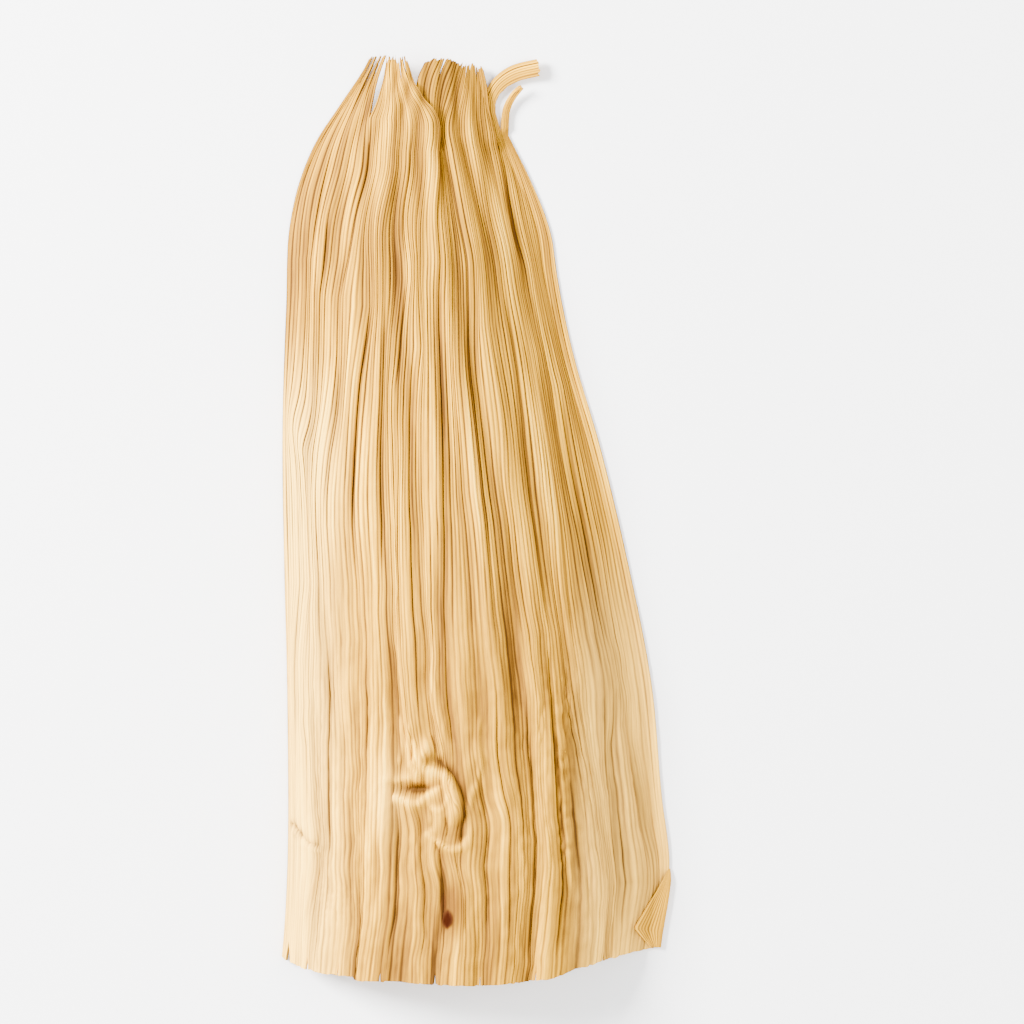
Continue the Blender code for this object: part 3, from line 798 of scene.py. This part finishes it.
print("leaf: folding the corner")
marginSlot = slotCount - 1
foldRows = [i for i in fineRows if base[number[i, marginSlot], 1] < corner["top"]]
hinge = base[number[foldRows, marginSlot]]
hingeRun = hinge[-1] - hinge[0]
inward = np.array([-hingeRun[1], hingeRun[0]]) / np.hypot(hingeRun[0], hingeRun[1])
reach = corner["reach"] * (corner["top"] - hinge[:, 1]) / (corner["top"] - corner["point"])
rising = (hinge[:, 1] - hinge[0, 1]) / (corner["point"] - hinge[0, 1])
lowReach = corner["lowReach"] + (corner["reach"] - corner["lowReach"]) * rising
reach = np.maximum(np.minimum(reach, lowReach), 0.25)
radius = np.minimum(0.5 * corner["gap"], 0.15 + 0.35 * reach)
ring = number[foldRows, marginSlot]
cornerQuads, flapPoints, flapUv = [], [], []
flapRise, flapTone = [], []
for step in range(1, corner["turnSteps"] + corner["flapSteps"] + 1):
    over = max(0, step - corner["turnSteps"]) / corner["flapSteps"]
    angle = math.pi * min(1.0, step / corner["turnSteps"])
    move = reach * over - radius * math.sin(angle)
    height = radius * (1 - math.cos(angle)) + 0.6 * over ** 2 * ease(0, 8, reach)
    px = hinge[:, 0] + inward[0] * move
    py = hinge[:, 1] + inward[1] * move
    bed = np.maximum(arch(np.minimum(px, hinge[:, 0]), py) - hinge[:, 2], 0)
    flapPoints.append(np.stack([px, py, hinge[:, 2] + bed + height], 1))
    shareOver = 1 + corner["veins"] / leaf["veins"] * over
    flapUv.append(np.stack([np.full(len(hinge), shareOver), py / leaf["length"]], 1))
    rise = 0.5 - 0.5 * math.cos(2 * math.pi * corner["veins"] * over)
    flapRise.append(np.full(len(hinge), rise * ease(0, 0.1, over)) * ease(0.3, 5, reach))
    # painted shade in the grooves between the flap's veins
    line = (1 - rise) * ease(0.02, 0.12, over) * ease(0.02, 0.12, 1 - over)
    flapTone.append(np.full(len(hinge), shade["flap"] + shade["flapGrooveShade"] * line))
    nextRing = count + np.arange(len(hinge))
    cornerQuads.append(np.stack([ring[:-1], nextRing[:-1], nextRing[1:], ring[1:]], 1))
    ring = nextRing
    count += len(hinge)
flapRise = np.concatenate(flapRise)
base = np.concatenate([base] + flapPoints)
veinUv = np.concatenate([veinUv] + flapUv)
onlyFlap = np.ones(len(flapRise))
liftAt = np.concatenate([liftAt, leaf["thickness"] * onlyFlap])
toneAt = np.concatenate([toneAt] + flapTone)
clearAt = np.concatenate([clearAt, 0.3 * onlyFlap])
bleachAndLightAt = np.concatenate([bleachAndLightAt, 0 * onlyFlap])
cornerQuads = np.concatenate(cornerQuads)
outerQuads = np.concatenate([outerQuads, cornerQuads])
innerQuads = np.concatenate([innerQuads, cornerQuads])


def vertexNormals(points, quads):
    across = points[quads[:, 2]] - points[quads[:, 0]]
    other = points[quads[:, 3]] - points[quads[:, 1]]
    facing = np.cross(across, other)
    total = np.zeros_like(points)
    for k in range(4):
        np.add.at(total, quads[:, k], facing)
    return total / np.maximum(np.linalg.norm(total, axis=1), 1e-9)[:, None]


normals = vertexNormals(base, outerQuads)
outer = base + normals * liftAt[:, None]
outer[:, 2] = np.maximum(outer[:, 2], 0.05)
inner = base.copy()
inner[-len(flapRise):] += normals[-len(flapRise):] * corner["veinRise"] * flapRise[:, None]
inner[:, 2] = np.maximum(inner[:, 2], 0.0)


def boundaryEdges(quads):
    edges = np.concatenate([quads[:, [k, (k + 1) % 4]] for k in range(4)])
    key = np.sort(edges, axis=1) @ np.array([10 ** 7, 1])
    _, first, times = np.unique(key, return_index=True, return_counts=True)
    return {int(a): int(b) for a, b in edges[first[times == 1]]}


print("leaf: closing the edges")
followed = boundaryEdges(outerQuads)
usedInner = np.unique(innerQuads)
innerNumber = {int(a): count + i for i, a in enumerate(usedInner)}
rim = []
walked = set()
for start in followed:
    if start in walked or start not in innerNumber:
        continue
    here = start
    while True:
        run = [here, followed[here]]
        while run[-1] not in innerNumber:
            run.append(followed[run[-1]])
        walked.update(run[:-1])
        rim.append(run[::-1] + [innerNumber[run[0]], innerNumber[run[-1]]])
        here = run[-1]
        if here == start:
            break

points = np.concatenate([outer, inner[usedInner]])
faces = outerQuads.tolist()
faces += [[innerNumber[i] for i in quad[::-1]] for quad in innerQuads.tolist()]
faces += rim

middle = 0.5 * (points.min(0) + points.max(0))
boxMiddle = 0.5 * (cadLow + cadHigh)
points = (points - [middle[0], middle[1], 0.0]) * mm + [boxMiddle.x, boxMiddle.y, cadLow.z]

mesh = bpy.data.meshes.new("leafBlade")
mesh.from_pydata(points.tolist(), [], faces)
mesh.update()
print("leaf:", len(mesh.vertices), "vertices,", sum(len(f) - 2 for f in faces), "triangles")

uvAll = np.concatenate([veinUv, veinUv[usedInner]])
loopVerts = np.empty(len(mesh.loops), np.int32)
mesh.loops.foreach_get("vertex_index", loopVerts)
veinLayer = mesh.uv_layers.new(name="veins")
veinLayer.data.foreach_set("uv", uvAll[loopVerts].ravel())

# a layout with no overlaps for baking: outer side, inner side, then a cell for each face
# of the rim
flatOuter = veinUv * (0.575, 0.96) + (0, 0.002)
flatInner = veinUv[usedInner] * (0.3, 0.96) + (0.625, 0.002)
flatLoops = np.concatenate([flatOuter, flatInner])[loopVerts]
sheetLoops = 4 * (len(outerQuads) + len(innerQuads))
rowsOfCells = math.ceil(len(rim) / 10)
at = sheetLoops
for i, face in enumerate(rim):
    cellX, cellY = 0.957 + 0.004 * (i % 10), (i // 10) / rowsOfCells
    along = np.linspace(0, 0.0035, len(face) - 2)
    flatLoops[at:at + len(along)] = np.stack([cellX + along, np.full(len(along), cellY)], 1)
    flatLoops[at + len(along)] = (cellX + 0.0035, cellY + 0.85 / rowsOfCells)
    flatLoops[at + len(along) + 1] = (cellX, cellY + 0.85 / rowsOfCells)
    at += len(face)
bakeLayer = mesh.uv_layers.new(name="OFBake")
bakeLayer.data.foreach_set("uv", flatLoops.ravel())


def placed(name, data):
    thing = bpy.data.objects.new(name, data)
    bpy.context.collection.objects.link(thing)
    return thing


def vertexValue(name, values):
    layer = mesh.attributes.new(name, "FLOAT", "POINT")
    layer.data.foreach_set("value", np.asarray(values, np.float32))


onFlap = usedInner >= count - len(flapRise)
innerTone = np.where(onFlap, toneAt[usedInner], leaf["innerTone"])
vertexValue("tone", np.concatenate([toneAt, innerTone]))
vertexValue("veinClear", np.concatenate([clearAt, np.full(len(usedInner), leaf["innerClear"])]))
vertexValue("bleachAndLightTint", np.concatenate([bleachAndLightAt, np.zeros(len(usedInner))]))
mesh.shade_smooth()
mesh.set_sharp_from_angle(angle=math.radians(70))
blade = placed("leafBlade", mesh)
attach(blade, "root")
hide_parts("husk")


# Material: dried straw

straw = bpy.data.materials.new("driedStraw")
straw.use_nodes = True
tree = straw.node_tree
mesh.materials.append(straw)


def addNode(kind, **settings):
    node = tree.nodes.new(kind)
    for name, value in settings.items():
        setattr(node, name, value)
    return node


def plug(socket, value):
    # a number sets the socket, anything else is linked to it
    if isinstance(value, (int, float)):
        socket.default_value = value
    else:
        tree.links.new(value, socket)


def mathNode(operation, *values, clamp=False):
    node = addNode("ShaderNodeMath", operation=operation, use_clamp=clamp)
    for socket, value in zip(node.inputs, values):
        plug(socket, value)
    return node.outputs[0]


def attribute(name):
    return addNode("ShaderNodeAttribute", attribute_name=name).outputs["Fac"]


def smoothStep(value, none, full):
    node = addNode("ShaderNodeMapRange", interpolation_type="SMOOTHSTEP")
    plug(node.inputs["Value"], value)
    node.inputs["From Min"].default_value = none
    node.inputs["From Max"].default_value = full
    return node.outputs[0]


def noiseTexture(coordinate, detail, roughness=0.5):
    noise = addNode("ShaderNodeTexNoise")
    noise.inputs["Scale"].default_value = 1.0
    noise.inputs["Detail"].default_value = detail
    noise.inputs["Roughness"].default_value = roughness
    plug(noise.inputs["Vector"], coordinate)
    return noise.outputs[0]


def colourRamp(place, stops):
    node = addNode("ShaderNodeValToRGB")
    while len(node.color_ramp.elements) < len(stops):
        node.color_ramp.elements.new(0.5)
    for element, (position, colour) in zip(node.color_ramp.elements, stops):
        element.position = position
        element.color = (*colour, 1)
    plug(node.inputs[0], place)
    return node.outputs[0]


def tinted(factor, colour, tint):
    node = addNode("ShaderNodeMix", data_type="RGBA")
    plug(node.inputs["Factor"], factor)
    plug(node.inputs[6], colour)
    node.inputs[7].default_value = (*tint, 1)
    return node.outputs[2]


strawFinish = {
    # the darker end of these shades carries painted shade in folds and hollows
    "shades": [  # from a pale ridge to the bottom of a deep fold
        (0.0, (0.98, 0.56, 0.04)), (0.16, (0.80, 0.395, 0.006)), (0.34, (0.545, 0.257, 0.003)),
        (0.55, (0.335, 0.153, 0.0035)), (0.80, (0.172, 0.072, 0.006)),
        (1.0, (0.070, 0.028, 0.0045)),
    ],
    "bleachAndLightTint": (0.93, 0.60, 0.14),
    "bleachAndLightAmount": 0.42,
    # how much painted shade the groove lines lay on the straw
    "grooveShade": 0.66,
    "grooveEdge": (0.34, 0.03),  # in veins from its middle: where it starts and is full
    "grooveFading": (2.6, -0.5),
    "everyOther": -0.55,
    # streaks along the leaf: how many to a vein and up the leaf, detail, roughness, offset,
    # and how much they darken it
    "threads": (1.8, 8.0, 4.0, 0.62, 3.1, 0.9),
    "streaks": (0.7, 4.0, 3.0, 0.55, 7.7, 0.7),
    "dashes": (4.5, 60.0, 2.0, 0.5, 1.3, 0.2),
    "roughness": (0.48, 0.78),
    "gloss": 0.015,
    "bump": 0.00022,
}

# The dark spot near the base is a drop with a tan halo and a streak above it. Each part has
# its place beside the spot's own, half width, half length, softness and unevenness.
spot = {
    "place": (-7.1, 19.4),  # millimetres on the leaf's own ruler
    "halo": (2.0, 2.4, 2.6, 6.5, 0.75, 1.4),
    "streak": (-1.0, 4.6, 0.75, 7.0, 0.7, 1.2),
    "core": (0.1, -0.8, 1.6, 2.6, 0.25, 0.8),
    "heart": (0.0, -1.0, 1.15, 2.0, 0.4, 1.2),
    "upper": (-1.0, 3.4, 0.75, 3.4, 0.5, 0.6),
    "darkening": {"halo": 0.42, "streak": 0.5},
    "tints": [  # part, amount, colour
        ("halo", 0.45, (0.20, 0.078, 0.006)), ("core", 1.0, (0.046, 0.014, 0.0034)),
        ("heart", 1.0, (0.020, 0.0032, 0.0004)), ("upper", 0.8, (0.046, 0.014, 0.0034)),
    ],
}


def grooveLines(uv):
    # every other line between the veins is deep, and each fades in and out on its way; the lines
    # are painted shade in the grooves
    split = addNode("ShaderNodeSeparateXYZ")
    plug(split.inputs[0], uv)
    phase = mathNode("MULTIPLY", split.outputs[0], float(leaf["veins"]))
    groove = mathNode("ROUND", phase)
    away = mathNode("ABSOLUTE", mathNode("SUBTRACT", phase, groove))
    spread = addNode("ShaderNodeCombineXYZ")
    plug(spread.inputs[0], mathNode("MULTIPLY", groove, 3.7))
    plug(spread.inputs[1], mathNode("MULTIPLY", split.outputs[1], 9.0))
    fading = noiseTexture(spread.outputs[0], 2.0)
    fading = mathNode("MULTIPLY_ADD", fading, *strawFinish["grooveFading"], clamp=True)
    everyOther = mathNode("PINGPONG", groove, 1.0)
    strength = mathNode("MULTIPLY_ADD", everyOther, strawFinish["everyOther"], 1.0)
    strength = mathNode("MULTIPLY", strength, fading)
    line = mathNode("MULTIPLY", smoothStep(away, *strawFinish["grooveEdge"]), strength)
    return mathNode("MULTIPLY", line, attribute("veinClear"))


def streakNoise(uv, name):
    across, along, detail, roughness, offset, _ = strawFinish[name]
    stretch = addNode("ShaderNodeMapping")
    stretch.inputs["Scale"].default_value = (leaf["veins"] * across, along, 1.0)
    stretch.inputs["Location"].default_value = (offset, 1.7 * offset, 0)
    plug(stretch.inputs[0], uv)
    return noiseTexture(stretch.outputs[0], detail, roughness)


def fromSpot():
    # millimetres across and up from the middle of the spot
    shift = addNode("ShaderNodeMapping")
    shift.inputs["Location"].default_value = (
        middle[0] - spot["place"][0] - boxMiddle.x / mm,
        middle[1] - spot["place"][1] - boxMiddle.y / mm, 0)
    shift.inputs["Scale"].default_value = (1 / mm, 1 / mm, 0)
    plug(shift.inputs[0], addNode("ShaderNodeTexCoord").outputs["Object"])
    parts = addNode("ShaderNodeSeparateXYZ")
    plug(parts.inputs[0], shift.outputs[0])
    return parts.outputs[0], parts.outputs[1]


def spotPart(across, along, uneven, name):
    midX, midY, half, long, soft, wobble = spot[name]
    dx = mathNode("DIVIDE", mathNode("SUBTRACT", across, midX), half)
    dy = mathNode("DIVIDE", mathNode("SUBTRACT", along, midY), long)
    square = mathNode("MULTIPLY_ADD", dx, dx, mathNode("MULTIPLY", dy, dy))
    far = mathNode("SQRT", square)
    far = mathNode("MULTIPLY_ADD", mathNode("SUBTRACT", uneven, 0.5), wobble, far)
    return smoothStep(far, 1.0 + soft, 1.0 - soft)


def shadeStraw():
    shader = tree.nodes["Principled BSDF"]
    uv = addNode("ShaderNodeUVMap", uv_map="veins").outputs[0]

    line = grooveLines(uv)
    # the groove lines add painted shade to the tone
    dark = mathNode("MULTIPLY_ADD", line, strawFinish["grooveShade"], attribute("tone"))
    noise = {}
    for name in ("threads", "streaks", "dashes"):
        noise[name] = streakNoise(uv, name)
        aboutZero = mathNode("SUBTRACT", noise[name], 0.5)
        dark = mathNode("MULTIPLY_ADD", aboutZero, strawFinish[name][-1], dark)
    across, along = fromSpot()
    spotAt = {name: spotPart(across, along, noise["threads"], name)
              for name in ("halo", "streak", "core", "heart", "upper")}
    for name, amount in spot["darkening"].items():
        dark = mathNode("MULTIPLY_ADD", spotAt[name], amount, dark)

    colour = colourRamp(dark, strawFinish["shades"])
    # a pale tint on the lighter parts: partly bleached straw, partly painted light
    paleOnly = mathNode("MULTIPLY_ADD", dark, -1.15, 1.3, clamp=True)
    bleachAndLightAmount = mathNode("MULTIPLY", paleOnly, strawFinish["bleachAndLightAmount"])
    bleachAndLightAmount = mathNode("MULTIPLY", attribute("bleachAndLightTint"), bleachAndLightAmount)
    colour = tinted(bleachAndLightAmount, colour, strawFinish["bleachAndLightTint"])
    for name, amount, tint in spot["tints"]:
        colour = tinted(mathNode("MULTIPLY", spotAt[name], amount), colour, tint)
    plug(shader.inputs["Base Color"], colour)

    rough = addNode("ShaderNodeMapRange")
    plug(rough.inputs["Value"], noise["streaks"])
    rough.inputs["To Min"].default_value, rough.inputs["To Max"].default_value = (
        strawFinish["roughness"])
    plug(shader.inputs["Roughness"], rough.outputs[0])
    shader.inputs["Specular IOR Level"].default_value = strawFinish["gloss"]
    bump = addNode("ShaderNodeBump")
    bump.inputs["Strength"].default_value = 0.5
    bump.inputs["Distance"].default_value = strawFinish["bump"]
    height = mathNode("MULTIPLY_ADD", noise["dashes"], 0.35, noise["threads"])
    height = mathNode("MULTIPLY_ADD", line, -1.2, height)
    plug(bump.inputs["Height"], height)
    plug(shader.inputs["Normal"], bump.outputs[0])


shadeStraw()


# Studio: a plain pale floor, soft light and a camera looking straight down

studio = {
    "key": ((-1.1, 0.5, 0.75), 0.5, 166),  # place in metres, size, watts
    "fill": ((0.9, -0.2, 1.3), 1.2, 50),
    "frameWidth": 286.7,  # millimetres of the leaf's plane that the picture spans
    "aimX": 10.9,
    "aimY": 131.9,
    "distance": 1.5,
    "leafPlane": 14.0,
    "floorHalf": 2.0,
    "floorTone": 0.92,
    "skyPower": 1.5,
}

half = studio["floorHalf"]
floorMesh = bpy.data.meshes.new("studioFloor")
floorMesh.from_pydata([(-half, -half, 0), (half, -half, 0), (half, half, 0), (-half, half, 0)],
                      [], [(0, 1, 2, 3)])
floor = placed("studioFloor", floorMesh)
floor.location.z = cadLow.z - 0.0002
floorMaterial = bpy.data.materials.new("paleFloor")
floorMaterial.use_nodes = True
floorShader = floorMaterial.node_tree.nodes["Principled BSDF"]
floorShader.inputs["Base Color"].default_value = (*[studio["floorTone"]] * 3, 1)
floorShader.inputs["Roughness"].default_value = 0.8
floorMesh.materials.append(floorMaterial)


def softLight(name, place, size, power):
    light = bpy.data.lights.new(name, "AREA")
    light.size = size
    light.energy = power
    lamp = placed(name, light)
    lamp.location = place
    lamp.rotation_euler = (-Vector(place)).to_track_quat("-Z", "Y").to_euler()


softLight("keyLight", *studio["key"])
softLight("fillLight", *studio["fill"])
print("studio: floor, two lights and sky")
world = bpy.data.worlds.new("studioWorld")
world.use_nodes = True
sky = world.node_tree.nodes["Background"]
sky.inputs["Color"].default_value = (1, 1, 1, 1)
sky.inputs["Strength"].default_value = studio["skyPower"]
bpy.context.scene.world = world

camera = placed("camera", bpy.data.cameras.new("camera"))
camera.location = ((studio["aimX"] - middle[0]) * mm + boxMiddle.x,
                   (studio["aimY"] - middle[1]) * mm + boxMiddle.y, studio["distance"])
camera.data.sensor_width = 36
toLeaf = studio["distance"] - studio["leafPlane"] * mm
camera.data.lens = camera.data.sensor_width * toLeaf / (studio["frameWidth"] * mm)
camera.data.clip_start = 0.01
bpy.context.scene.camera = camera

bpy.context.view_layer.update()
